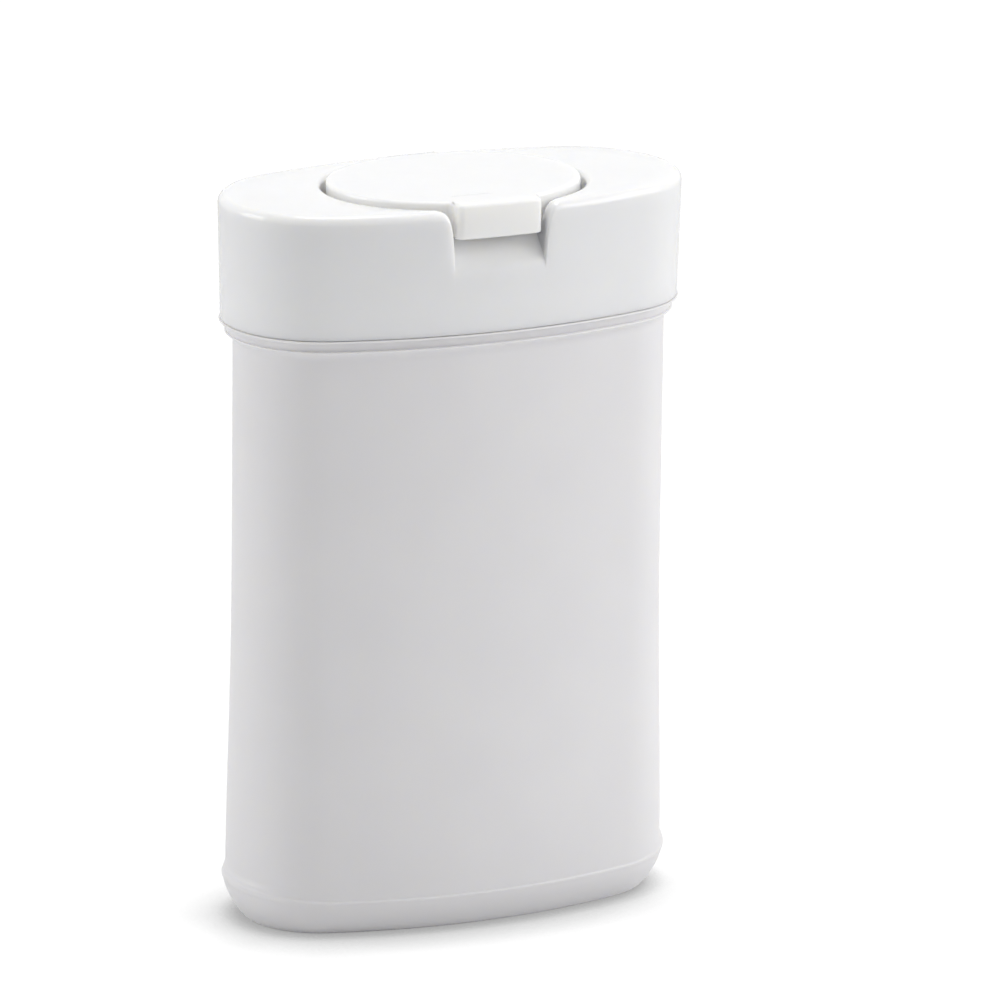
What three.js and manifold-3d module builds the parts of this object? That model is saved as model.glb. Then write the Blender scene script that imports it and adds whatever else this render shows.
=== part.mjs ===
// Oval canister of wet wipes with a snap-fitted flip-top lid, in millimetres.
// +Z is up and the thumb tab faces -Y. The origin is the middle of the base, on the surface it stands on.
import * as THREE from "three";
import { mergeVertices } from "three/addons/utils/BufferGeometryUtils.js";
import Module from "manifold-3d";

const wasm = await Module();
wasm.setup();

// The pack seen from above is an oval of four tangent arcs. Its size is that of the lid's lower edge.
// A face bow is how much an end's radius falls short of half the oval's depth.
const lidWidth = 80;
const lidDepth = 40.4;
const faceBow = 3.4;
const endArcSteps = 11;
const faceArcSteps = 5;

// Container: blow-moulded shell, heights from the surface it stands on, insets from the lid's lower edge.
const rimHeight = 102.95;
const wall = 1;
const standInset = 4.5;
const standWidth = 2.2;
const pushUp = 1.8;
const pushUpSlope = 3;
const heelHeight = 5.6;
const heelInset = 1.15;
const ridgeHeight = 7.2;
const ridgeInset = 0.66;
const ridgeFillet = 2;
const panelFootInset = 1.35;
const panelInset = 2.12;
const waistHeight = 60;
const flareHeight = 4.3;
const flareEdgeInset = 0.85;
const flareEdgeDrop = 1.5;
const beadOut = 0.3;
const beadHeight = 0.5;

// Neck that the lid snaps over.
const neckInset = 1.95;
const neckHeight = 9.6;
const neckLipBevel = 0.3;
const snapBead = 0.35;
const snapBeadHeight = 1.4;
const neckBeadDrop = 2.6;

// Lid: injection-moulded cup with a deck, seated just above the container's rim bead.
const seatGap = 0.35;
const lidHeight = 20.7;
const lidDraft = 0.5;
const lidWall = 1.2;
const lidCorner = 1.5;
const deckThickness = 1.3;
const snapRibReach = 0.3;
const snapRibRise = 4.2;
const snapRibHeight = 1.2;

// Flip cap: oval disc with a skirt, lying in a well in the deck.
const capWidth = 43.2;
const capFaceBow = 2;
const capProud = 1;
const capTop = 1.3;
const capEdgeRadius = 0.8;
const capSkirtWall = 1.2;
const capFloorGap = 0.9;
const wellGap = 1.4;
const wellFrontStrip = 0.8;
const wellBackStrip = 2.6;
const wellDepth = 5.4;
const wellWall = 1.5;
const wellFloor = 1.2;

// Thumb tab of the cap, and the finger recess it hangs in.
const tabWidth = 15.2;
const tabHeight = 5.9;
const tabCorner = 1.2;
const tabThickness = 1.3;
const tabSetBack = 0.4;
const recessSideGap = 0.6;
const recessFlare = 1.6;
const recessDepth = 4.2;
const recessDrop = 10.6;
const recessRise = 4.6;

// Hinge at the back of the cap: a knuckle with two stub pins that snap into the lid.
const hingeWidth = 10.4;
const hingeSideGap = 0.4;
const hingeReach = 2.4;
const hingeDrop = 2;
const knuckleRadius = 1.3;
const knuckleFloorGap = 0.3;
const pinRadius = 0.8;
const pinLength = 1.6;
const pinClearance = 0.1;
const pinEndGap = 0.3;
const tongueDrop = 0.8;

// Dispensing hole with its slits and collar, and the cap's sealing ring round the collar.
const holeRadius = 3.4;
const slitCount = 6;
const slitWidth = 1;
const slitReach = 5.2;
const collarInner = 5.9;
const collarOuter = 7.4;
const collarHeight = 1.4;
const sealGap = 0.35;
const sealWall = 0.9;

// Roll of wipes: coreless, pressed oval, its inner end gathered up in the middle.
const rollGap = 0.6;
const rollLift = 0.3;
const rollHeight = 100;
const rollTurns = 7;
const turnGroove = 0.5;
const coreWidth = 18;
const coreDepth = 9;
const coreEndRadius = 3.6;
const coreSink = 12;
const tailShare = 0.45;
const tailTipShare = 0.2;
const tailBelowTop = 1;

const reachPast = 4;
const roundSteps = 32;
const pinSteps = 16;

const ovalEndRadius = lidDepth / 2 - faceBow;
const lidHalfDepth = lidDepth / 2 + lidDraft;
const capDepth = 2 * (lidHalfDepth - wellGap) - wellFrontStrip - wellBackStrip;
const capEndRadius = capDepth / 2 - capFaceBow;
const capSetForward = (wellBackStrip - wellFrontStrip) / 2;
const shoulder = rimHeight;
const neckTop = shoulder + neckHeight;
const lidBottom = shoulder + seatGap;
const deck = lidBottom + lidHeight;
const capTopHeight = deck + capProud;
const wellBottom = deck - wellDepth;
const capSkirtBottom = wellBottom + capFloorGap;
const capBack = capDepth / 2 - capSetForward;
const hingeY = capBack + hingeReach;
const hingeZ = deck - hingeDrop;
const tabFront = lidHalfDepth - tabSetBack;
const containerFloor = pushUp + wall;

// Oval of four tangent arcs, as points anticlockwise seen from above.
function oval(halfWidth, halfDepth, endRadius) {
  const reach = halfWidth - endRadius;
  const faceRadius = (reach ** 2 + halfDepth ** 2 - endRadius ** 2) / (2 * (halfDepth - endRadius));
  const faceCentre = halfDepth - faceRadius;
  const turn = Math.atan2(-faceCentre, reach);
  const quarter = [];
  for (let i = 0; i < endArcSteps; i++) {
    const angle = (turn * i) / endArcSteps;
    quarter.push([reach + endRadius * Math.cos(angle), endRadius * Math.sin(angle)]);
  }
  for (let i = 0; i < faceArcSteps; i++) {
    const angle = turn + ((Math.PI / 2 - turn) * i) / faceArcSteps;
    quarter.push([faceRadius * Math.cos(angle), faceCentre + faceRadius * Math.sin(angle)]);
  }
  const top = [0, halfDepth];
  const end = quarter[0];
  const inner = quarter.slice(1);
  const left = inner.map(([x, y]) => [-x, y]).reverse();
  const lower = inner.map(([x, y]) => [-x, -y]);
  const right = inner.map(([x, y]) => [x, -y]).reverse();
  return [end, ...inner, top, ...left, [-end[0], 0], ...lower, [0, -halfDepth], ...right];
}

// The pack's oval grown outwards by a distance, and the cap's oval likewise.
const packOval = (out) => oval(lidWidth / 2 + out, lidDepth / 2 + out, ovalEndRadius + out);
const capOval = (out) =>
  oval(capWidth / 2 + out, capDepth / 2 + out, capEndRadius + out).map(([x, y]) => [x, y - capSetForward]);

// Closed solid made by carrying a section, a list of [outline, height], round an outline.
// The first and last outlines are closed by flat faces.
function carried(section, outlineAt) {
  const rows = section.map(([out, z]) => outlineAt(out).map(([x, y]) => [x, y, z]));
  const count = rows[0].length;
  const middle = (row) => [0, outlineCentre(row), row[0][2]];
  const positions = [...rows.flat(), middle(rows[0]), middle(rows.at(-1))].flat();
  const firstCentre = rows.length * count;
  const index = [];
  for (let i = 0; i < count; i++) {
    const next = (i + 1) % count;
    for (let row = 0; row < rows.length - 1; row++) {
      const low = row * count;
      const high = low + count;
      index.push(low + i, low + next, high + next, low + i, high + next, high + i);
    }
    const lastRow = (rows.length - 1) * count;
    index.push(firstCentre, next, i, firstCentre + 1, lastRow + i, lastRow + next);
  }
  const geometry = new THREE.BufferGeometry();
  geometry.setAttribute("position", new THREE.Float32BufferAttribute(positions, 3));
  geometry.setIndex(index);
  return geometry;
}

function outlineCentre(row) {
  const depths = row.map(([, y]) => y);
  return (Math.min(...depths) + Math.max(...depths)) / 2;
}

// Points of a drawn section, with each bend as short straight steps and no point twice.
function sectionPoints(path, steps) {
  return path
    .getPoints(steps)
    .map((point) => [point.x, point.y])
    .filter(([x, y], i, all) => i === 0 || Math.hypot(x - all[i - 1][0], y - all[i - 1][1]) > 1e-4);
}

// A three.js geometry as a solid to cut and join, and the solid's surface as a geometry again.
function solid(geometry) {
  const bare = geometry.clone();
  bare.deleteAttribute("normal");
  bare.deleteAttribute("uv");
  const merged = mergeVertices(bare, 1e-4);
  return new wasm.Manifold(
    new wasm.Mesh({
      numProp: 3,
      vertProperties: merged.getAttribute("position").array,
      triVerts: new Uint32Array(merged.index.array),
    }),
  );
}

function surface(made) {
  const mesh = made.getMesh();
  const geometry = new THREE.BufferGeometry();
  geometry.setAttribute("position", new THREE.BufferAttribute(mesh.vertProperties, 3));
  geometry.setIndex(new THREE.BufferAttribute(mesh.triVerts, 1));
  geometry.computeVertexNormals();
  return geometry;
}

// Upright round bar or tube between two heights, on the cap's centre line.
function uprightRound(radius, low, high) {
  const bar = new THREE.CylinderGeometry(radius, radius, high - low, roundSteps);
  return solid(bar.rotateX(Math.PI / 2).translate(0, -capSetForward, (low + high) / 2));
}

// Round bar along X on the hinge's axis.
function hingeBar(radius, length) {
  const bar = new THREE.CylinderGeometry(radius, radius, length, pinSteps);
  return solid(bar.rotateZ(Math.PI / 2).translate(0, hingeY, hingeZ));
}

// Block between two corners.
function block(low, high) {
  const size = high.map((value, i) => value - low[i]);
  const centre = high.map((value, i) => (value + low[i]) / 2);
  return solid(new THREE.BoxGeometry(...size).translate(...centre));
}

function part(name, geometry, finish) {
  const mesh = new THREE.Mesh(geometry, new THREE.MeshStandardMaterial(finish));
  mesh.name = name;
  return mesh;
}

// Container: base with a raised middle, curved foot, ridge, waisted panel, flare, rim bead and neck.
function makeContainer() {
  const flareLow = shoulder - flareHeight;
  const flareEdge = shoulder - flareEdgeDrop;
  const section = new THREE.Path();
  const standInner = standInset + standWidth;
  section.moveTo(-(standInner + pushUpSlope), pushUp);
  section.lineTo(-standInner, 0);
  section.lineTo(-standInset, 0);
  const footSpan = standInset - heelInset;
  section.bezierCurveTo(
    -standInset + 0.15 * footSpan,
    0,
    -heelInset - 0.1 * footSpan,
    0.6 * heelHeight,
    -heelInset,
    heelHeight,
  );
  section.lineTo(-ridgeInset, ridgeHeight);
  const panelFoot = ridgeHeight + ridgeFillet;
  section.bezierCurveTo(
    -ridgeInset,
    ridgeHeight + 0.25 * ridgeFillet,
    -panelFootInset,
    ridgeHeight + 0.4 * ridgeFillet,
    -panelFootInset,
    panelFoot,
  );
  const panelRise = waistHeight - panelFoot;
  section.bezierCurveTo(
    -panelFootInset,
    panelFoot + 0.3 * panelRise,
    -panelInset,
    panelFoot + 0.6 * panelRise,
    -panelInset,
    waistHeight,
  );
  section.lineTo(-panelInset, flareLow);
  section.quadraticCurveTo(-panelInset, flareLow + 0.6 * (flareEdge - flareLow), -flareEdgeInset, flareEdge);
  section.lineTo(beadOut / 2, shoulder - beadHeight);
  section.quadraticCurveTo(beadOut * 1.5, shoulder - beadHeight / 2, beadOut / 2, shoulder);
  section.lineTo(-neckInset, shoulder);
  const beadMiddle = neckTop - neckBeadDrop;
  section.lineTo(-neckInset, beadMiddle - snapBeadHeight / 2);
  section.lineTo(-neckInset + snapBead, beadMiddle);
  section.lineTo(-neckInset, beadMiddle + snapBeadHeight / 2);
  section.lineTo(-neckInset, neckTop - neckLipBevel);
  section.lineTo(-neckInset - neckLipBevel, neckTop);
  section.lineTo(-neckInset - wall, neckTop);
  section.lineTo(-neckInset - wall, shoulder - wall);
  section.lineTo(beadOut / 2 - 1.8 * wall, shoulder - 1.35 * wall);
  section.lineTo(-panelInset - wall, flareLow);
  section.lineTo(-panelInset - wall, waistHeight);
  section.bezierCurveTo(
    -panelInset - wall,
    panelFoot + 0.6 * panelRise,
    -panelFootInset - wall,
    panelFoot + 0.3 * panelRise,
    -panelFootInset - wall,
    panelFoot,
  );
  section.lineTo(-ridgeInset - wall - 0.1, ridgeHeight);
  section.quadraticCurveTo(-ridgeInset - wall - 0.2 * footSpan, wall, -standInset - 0.2, wall);
  section.lineTo(-standInner, wall);
  section.lineTo(-(standInner + pushUpSlope), containerFloor);
  return carried(sectionPoints(section, 4), packOval);
}

// Widening of the finger recess: widest at the front and top, as wide as the tab's slot at the back.
function recessHalfWidth(y, z) {
  const back = tabWidth / 2 + recessSideGap;
  const forward = THREE.MathUtils.clamp((-y - (tabFront - recessDepth)) / recessDepth, 0, 2);
  const up = THREE.MathUtils.clamp((z - (deck - recessDrop)) / recessDrop, 0, 1);
  return back + recessFlare * forward * (0.6 + 0.4 * up);
}

// Wedge-shaped finger recess, grown by a wall for the shell behind it.
function recess(grow) {
  const back = -(lidHalfDepth - recessDepth) + grow;
  const slope = recessRise / recessDepth;
  const floorBack = deck - recessDrop + recessRise - grow;
  const front = -(lidDepth / 2 + reachPast);
  const top = deck + reachPast;
  const side = new THREE.Shape();
  side.moveTo(front, floorBack + slope * (front - back));
  side.lineTo(back, floorBack);
  side.lineTo(back, top);
  side.lineTo(front, top);
  const width = 2;
  const geometry = new THREE.ExtrudeGeometry(side, { depth: width, steps: 1, bevelEnabled: false });
  geometry.translate(0, 0, -width / 2);
  const turned = new THREE.Matrix4().makeBasis(
    new THREE.Vector3(0, 1, 0),
    new THREE.Vector3(0, 0, 1),
    new THREE.Vector3(1, 0, 0),
  );
  geometry.applyMatrix4(turned);
  const position = geometry.getAttribute("position");
  for (let i = 0; i < position.count; i++) {
    const half = recessHalfWidth(position.getY(i), position.getZ(i)) + grow;
    position.setX(i, Math.sign(position.getX(i)) * half);
  }
  return solid(geometry);
}

// Lid: skirt, deck, well for the cap, finger recess, hinge slot with pin sockets, and dispensing hole.
function makeLid() {
  const outside = new THREE.Path();
  const ceiling = deck - deckThickness;
  const innerCorner = lidCorner - lidWall / 2;
  outside.moveTo(lidDraft - lidWall - innerCorner, ceiling);
  outside.quadraticCurveTo(lidDraft - lidWall, ceiling, lidDraft - lidWall, ceiling - innerCorner);
  const ribHigh = lidBottom + snapRibRise + snapRibHeight / 2;
  const ribLow = lidBottom + snapRibRise - snapRibHeight / 2;
  outside.lineTo(-lidWall, ribHigh);
  outside.lineTo(-lidWall - snapRibReach, (ribHigh + ribLow) / 2);
  outside.lineTo(-lidWall, ribLow);
  outside.lineTo(-lidWall, lidBottom);
  outside.lineTo(0, lidBottom);
  outside.lineTo(lidDraft, deck - lidCorner);
  outside.quadraticCurveTo(lidDraft, deck, lidDraft - lidCorner, deck);
  const shell = solid(carried(sectionPoints(outside, 5), packOval));

  const full = [
    [0, lidBottom],
    [lidDraft, deck - lidCorner],
    [lidDraft - lidCorner, deck],
  ];
  const envelope = solid(carried(full, packOval));
  const wellOut = wellGap + wellWall;
  const wellCup = solid(
    carried(
      [
        [wellOut, wellBottom - wellFloor],
        [wellOut, deck + reachPast],
      ],
      capOval,
    ),
  );
  const wellHollow = solid(
    carried(
      [
        [wellGap, wellBottom],
        [wellGap, deck + reachPast],
      ],
      capOval,
    ),
  );
  let lid = shell.add(wellCup.intersect(envelope).subtract(upper(deck)));
  lid = lid.add(recess(lidWall).intersect(envelope).subtract(upper(deck)));
  lid = lid.subtract(wellHollow).subtract(recess(0));

  const collar = uprightRound(collarOuter, wellBottom - wellFloor / 2, wellBottom + collarHeight);
  const collarHollow = uprightRound(collarInner, wellBottom, wellBottom + collarHeight + reachPast);
  lid = lid.add(collar).subtract(collarHollow);
  const slitLow = wellBottom - wellFloor - reachPast;
  const slitHigh = wellBottom + collarHeight + reachPast;
  let opening = uprightRound(holeRadius, slitLow, slitHigh);
  for (let i = 0; i < slitCount; i++) {
    const slit = new THREE.BoxGeometry(slitReach, slitWidth, slitHigh - slitLow);
    slit.translate(slitReach / 2, 0, (slitLow + slitHigh) / 2);
    slit.rotateZ((2 * Math.PI * i) / slitCount);
    opening = opening.add(solid(slit.translate(0, -capSetForward, 0)));
  }
  lid = lid.subtract(opening);

  const slotHalf = hingeWidth / 2 + hingeSideGap;
  const slotFloor = hingeZ - knuckleRadius - knuckleFloorGap;
  const slot = block([-slotHalf, capBack, slotFloor], [slotHalf, lidDepth / 2 + reachPast, deck + reachPast]);
  const socketLength = 2 * (hingeWidth / 2 + pinLength + pinEndGap);
  return surface(lid.subtract(slot).subtract(hingeBar(pinRadius + pinClearance, socketLength)));
}

// Everything above a height, as a block to cut with.
function upper(height) {
  const half = lidWidth / 2 + reachPast;
  return block([-half, -half, height], [half, half, height + 2 * reachPast]);
}

// Flip cap: disc and skirt, thumb tab, sealing ring, and the hinge's tongue and pins.
function makeFlipCap() {
  const section = new THREE.Path();
  const underside = capTopHeight - capTop;
  section.moveTo(-capSkirtWall, underside);
  section.lineTo(-capSkirtWall, capSkirtBottom);
  section.lineTo(0, capSkirtBottom);
  section.lineTo(0, capTopHeight - capEdgeRadius);
  section.quadraticCurveTo(0, capTopHeight, -capEdgeRadius, capTopHeight);
  let cap = solid(carried(sectionPoints(section, 4), capOval));

  const tabHalf = tabWidth / 2;
  const tabLow = capTopHeight - tabHeight;
  const tabOut = lidDraft - tabSetBack;
  const cornerFront = -tabFront + tabCorner / 5;
  const plan = new THREE.Shape();
  plan.moveTo(-tabHalf, -capDepth / 2);
  plan.lineTo(-tabHalf, cornerFront + tabCorner);
  plan.quadraticCurveTo(-tabHalf, cornerFront, -tabHalf + tabCorner, cornerFront);
  plan.lineTo(0, -tabFront - tabCorner);
  plan.lineTo(tabHalf - tabCorner, cornerFront);
  plan.quadraticCurveTo(tabHalf, cornerFront, tabHalf, cornerFront + tabCorner);
  plan.lineTo(tabHalf, -capDepth / 2);
  const planBlock = new THREE.ExtrudeGeometry(plan, { depth: tabHeight, bevelEnabled: false, curveSegments: 4 });
  const tabBlock = solid(planBlock.translate(0, 0, tabLow));
  const face = new THREE.Path();
  face.moveTo(tabOut, tabLow - 1);
  face.lineTo(tabOut, capTopHeight - capEdgeRadius);
  face.quadraticCurveTo(tabOut, capTopHeight, tabOut - capEdgeRadius, capTopHeight);
  const outsideFace = solid(carried(sectionPoints(face, 4), packOval));
  const behindTab = block([-tabHalf - 1, -tabFront + tabThickness, tabLow - 1], [tabHalf + 1, 0, underside]);
  const inner = solid(
    carried(
      [
        [-capSkirtWall, tabLow - 2],
        [-capSkirtWall, underside],
      ],
      capOval,
    ),
  );
  const tab = tabBlock.intersect(outsideFace).subtract(behindTab);
  cap = cap.add(tab.subtract(inner));

  const sealInner = collarOuter + sealGap;
  const ring = uprightRound(sealInner + sealWall, capSkirtBottom, underside + capTop / 2);
  cap = cap.add(ring.subtract(uprightRound(sealInner, capSkirtBottom - 1, underside)));

  const tongueTop = capTopHeight - capEdgeRadius / 2;
  const tongue = new THREE.Shape();
  const tongueFront = capBack - capSkirtWall / 2;
  tongue.moveTo(tongueFront, hingeZ - tongueDrop);
  tongue.lineTo(hingeY, hingeZ - tongueDrop);
  tongue.lineTo(hingeY, tongueTop - knuckleRadius);
  tongue.quadraticCurveTo(hingeY, tongueTop, hingeY - knuckleRadius, tongueTop);
  tongue.lineTo(tongueFront, tongueTop);
  const plate = new THREE.ExtrudeGeometry(tongue, { depth: hingeWidth, bevelEnabled: false, curveSegments: 4 });
  const turned = new THREE.Matrix4().makeBasis(
    new THREE.Vector3(0, 1, 0),
    new THREE.Vector3(0, 0, 1),
    new THREE.Vector3(1, 0, 0),
  );
  plate.translate(0, 0, -hingeWidth / 2).applyMatrix4(turned);
  cap = cap.add(solid(plate)).add(hingeBar(knuckleRadius, hingeWidth));
  return surface(cap.add(hingeBar(pinRadius, hingeWidth + 2 * pinLength)));
}

// Outlines of the roll: 0 to 1 from the core's edge to the outside, below 0 the gathered end in the core.
function rollOval(share) {
  const outwards = -(panelInset + wall + rollGap);
  const outer = packOval(outwards);
  const core = oval(coreWidth / 2, coreDepth / 2, coreEndRadius);
  if (share < 0) return core.map(([x, y]) => [x * (1 + share), y * (1 + share)]);
  return core.map(([x, y], i) => [x + share * (outer[i][0] - x), y + share * (outer[i][1] - y)]);
}

// Roll of wipes: its turns show as shallow grooves on top, round a sunk core with the first wipe's end.
function makeRoll() {
  const low = containerFloor + rollLift;
  const top = low + rollHeight;
  const section = [
    [1 - 1 / rollTurns / 2, low],
    [1, low + turnGroove],
  ];
  for (let turn = rollTurns; turn > 0; turn--) {
    section.push([turn / rollTurns, top - turnGroove]);
    section.push([(turn - 0.5) / rollTurns, top]);
  }
  section.push([0, top - turnGroove]);
  section.push([-0.02, top - coreSink]);
  section.push([tailShare - 1, top - coreSink]);
  section.push([tailTipShare - 1, top - tailBelowTop]);
  return carried(section, rollOval);
}

const whitePlastic = { color: 0xf4f5f6, roughness: 0.38, metalness: 0 };
const glossyPlastic = { color: 0xf7f7f5, roughness: 0.22, metalness: 0 };
const wetTissue = { color: 0xf1f3f3, roughness: 0.85, metalness: 0 };

const pack = new THREE.Group();
pack.add(part("container", makeContainer(), whitePlastic));
pack.add(part("wipes_roll", makeRoll(), wetTissue));
pack.add(part("lid", makeLid(), glossyPlastic));
pack.add(part("flip_cap", makeFlipCap(), glossyPlastic));

export default pack;
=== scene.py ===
import math

import bmesh
import bpy
from mathutils import Matrix, Vector


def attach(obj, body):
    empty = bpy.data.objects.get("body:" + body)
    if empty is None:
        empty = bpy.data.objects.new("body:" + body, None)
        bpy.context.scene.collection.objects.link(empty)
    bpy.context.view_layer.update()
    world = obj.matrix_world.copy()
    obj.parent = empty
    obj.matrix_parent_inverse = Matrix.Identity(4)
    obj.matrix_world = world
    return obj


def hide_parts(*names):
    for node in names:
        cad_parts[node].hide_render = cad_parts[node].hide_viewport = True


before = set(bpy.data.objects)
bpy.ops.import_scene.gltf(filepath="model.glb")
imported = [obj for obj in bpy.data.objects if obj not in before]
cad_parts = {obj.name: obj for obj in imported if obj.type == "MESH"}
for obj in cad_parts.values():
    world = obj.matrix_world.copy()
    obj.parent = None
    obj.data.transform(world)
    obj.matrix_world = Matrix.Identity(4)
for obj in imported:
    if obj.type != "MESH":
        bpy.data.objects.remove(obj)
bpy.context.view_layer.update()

MM = 0.001

# Camera: it stands to the left of the pack's front and looks a little down on it, from far off,
# so the oval shows its tab side and its left end. The frame's shift and lean are the photograph's.
image_size = 1000
camera_azimuth = math.radians(-24.5)
camera_elevation = math.radians(15.96)
camera_lean = math.radians(0.64)
camera_distance = 1512 * MM
focal_pixels = 9040
film_width = 36
nearest_seen = 0.1
farthest_seen = 20
aim = Vector((0, 0, 60.7 * MM))
aim_right_of_centre = -53.0
aim_below_centre = 48.7

back = Vector((
    math.sin(camera_azimuth) * math.cos(camera_elevation),
    -math.cos(camera_azimuth) * math.cos(camera_elevation),
    math.sin(camera_elevation),
))
camera_data = bpy.data.cameras.new("studio_camera")
camera = bpy.data.objects.new("studio_camera", camera_data)
bpy.context.scene.collection.objects.link(camera)
bpy.context.scene.camera = camera
camera_data.sensor_width = film_width
camera_data.lens = film_width * focal_pixels / image_size
camera_data.shift_x = -aim_right_of_centre / image_size
camera_data.shift_y = aim_below_centre / image_size
camera_data.clip_start = nearest_seen
camera_data.clip_end = farthest_seen
camera_place = Matrix.Translation(aim + back * camera_distance)
camera_turn = back.to_track_quat("Z", "Y").to_matrix().to_4x4()
camera.matrix_world = camera_place @ camera_turn @ Matrix.Rotation(camera_lean, 4, "Z")


# Studio: a white table and white surround with one wide soft lamp overhead and soft panels at the
# sides. The right panel is the stronger, so the right end of the pack is the lightest. The table
# shows white, with a soft painted shade that closes in where the pack meets it, wider in front on the left.
def linear(hex_colour):
    """sRGB hex text as linear red, green, blue and alpha."""
    channels = [int(hex_colour[i:i + 2], 16) / 255 for i in (1, 3, 5)]
    return [c / 12.92 if c <= 0.04045 else ((c + 0.055) / 1.055) ** 2.4 for c in channels] + [1]


def add_node(owner, kind, settings=None, **links):
    """Adds a shader node, sets its values, and links its inputs from other nodes' outputs."""
    node = owner.node_tree.nodes.new(kind)
    for key, value in (settings or {}).items():
        if isinstance(value, bpy.types.NodeSocket):
            owner.node_tree.links.new(value, node.inputs[key])
        elif isinstance(key, int) or key in node.inputs:
            node.inputs[key].default_value = value
        else:
            setattr(node, key, value)
    for socket, source in links.items():
        owner.node_tree.links.new(source, node.inputs[socket.replace("_", " ")])
    return node


def bare_material(name):
    """A material with no nodes yet."""
    material = bpy.data.materials.new(name)
    material.use_nodes = True
    material.node_tree.nodes.clear()
    return material


white = (1, 1, 1, 1)
world_light = 0.42
world = bpy.data.worlds.new("white_surround")
bpy.context.scene.world = world
world.use_nodes = True
world.node_tree.nodes.clear()
world_rays = add_node(world, "ShaderNodeLightPath")
world_seen = add_node(world, "ShaderNodeMath", {
    "operation": "MAXIMUM", 0: world_rays.outputs["Is Camera Ray"], 1: world_rays.outputs["Is Glossy Ray"],
})
world_strength = add_node(world, "ShaderNodeMapRange", {"To Min": world_light, "To Max": 1.0},
                          Value=world_seen.outputs[0])
world_colour = add_node(world, "ShaderNodeBackground", {"Color": white},
                        Strength=world_strength.outputs["Result"])
add_node(world, "ShaderNodeOutputWorld", Surface=world_colour.outputs[0])

# A mix node has several sockets of one name, so its colours go by number.
first_colour = 6
second_colour = 7
mixed_colour = 2

table_half_side = 2.0
contact_reach = 20 * MM
contact_rays = 4
contact_lean = {"X": 0.224, "Y": 0.14, "Z": 1.0}
contact_closed = 0.25
contact_clear = 0.82
table_shade = 0.34
table_open = 0.98
bpy.ops.object.select_all(action="DESELECT")
bpy.ops.mesh.primitive_plane_add(size=2 * table_half_side, location=(0, 0, 0))
table = bpy.context.object
table.name = "studio_table"
table_paint = bare_material("white_table_laminate")
table_rays = add_node(table_paint, "ShaderNodeLightPath")
table_tone = add_node(table_paint, "ShaderNodeMix", {
    "data_type": "RGBA", first_colour: linear("#EDEDED"), second_colour: linear("#5A5A5A"),
}, Factor=table_rays.outputs["Is Camera Ray"])
table_colour = add_node(table_paint, "ShaderNodeBsdfDiffuse", Color=table_tone.outputs[mixed_colour])
# Painted shade: ambient occlusion dims the table's camera-only glow near the pack, leaned so the shade
# spreads wider in front on the left.
table_lean = add_node(table_paint, "ShaderNodeCombineXYZ", contact_lean)
table_contact = add_node(table_paint, "ShaderNodeAmbientOcclusion",
                         {"samples": contact_rays, "Distance": contact_reach}, Normal=table_lean.outputs[0])
table_glow = add_node(table_paint, "ShaderNodeMapRange", {
    "interpolation_type": "SMOOTHSTEP", "From Min": contact_closed, "From Max": contact_clear,
    "To Min": table_shade, "To Max": table_open,
}, Value=table_contact.outputs["AO"])
table_seen = add_node(table_paint, "ShaderNodeMath", {
    "operation": "MULTIPLY", 0: table_glow.outputs["Result"], 1: table_rays.outputs["Is Camera Ray"],
})
table_light = add_node(table_paint, "ShaderNodeEmission", {"Color": white}, Strength=table_seen.outputs[0])
table_sum = add_node(table_paint, "ShaderNodeAddShader",
                     {0: table_colour.outputs[0], 1: table_light.outputs[0]})
add_node(table_paint, "ShaderNodeOutputMaterial", Surface=table_sum.outputs[0])
table.data.materials.append(table_paint)


def soft_lamp(name, place, side, watts):
    """A square soft lamp aimed at the middle of the pack."""
    lamp = bpy.data.lights.new(name, "AREA")
    lamp.size = side
    lamp.energy = watts
    holder = bpy.data.objects.new(name, lamp)
    bpy.context.scene.collection.objects.link(holder)
    place = Vector(place)
    turn = (place - aim).to_track_quat("Z", "Y").to_matrix().to_4x4()
    holder.matrix_world = Matrix.Translation(place) @ turn


soft_lamp("overhead_lamp", place=(0.06, 0.16, 1.15), side=0.4, watts=4.6)
soft_lamp("right_panel", place=(1.0, -0.58, 0.6), side=0.8, watts=7.4)
soft_lamp("left_panel", place=(-1.1, 0.4, 0.62), side=0.7, watts=5.0)


# Container: one blow-moulded shell of white polyethylene, satin outside, with a foot that curves in
# to a resting ring, a raised ridge, a waisted panel, a flare and thin bead, and the neck for the lid.
half_width = 40 * MM
half_depth = 20.2 * MM
end_radius = 16.8 * MM
shoulder = 102.95 * MM
wall = 1 * MM
neck_top = 112.55 * MM
container_steps = 44
merge_reach = 1e-6
smooth_angle = math.radians(40)


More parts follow.
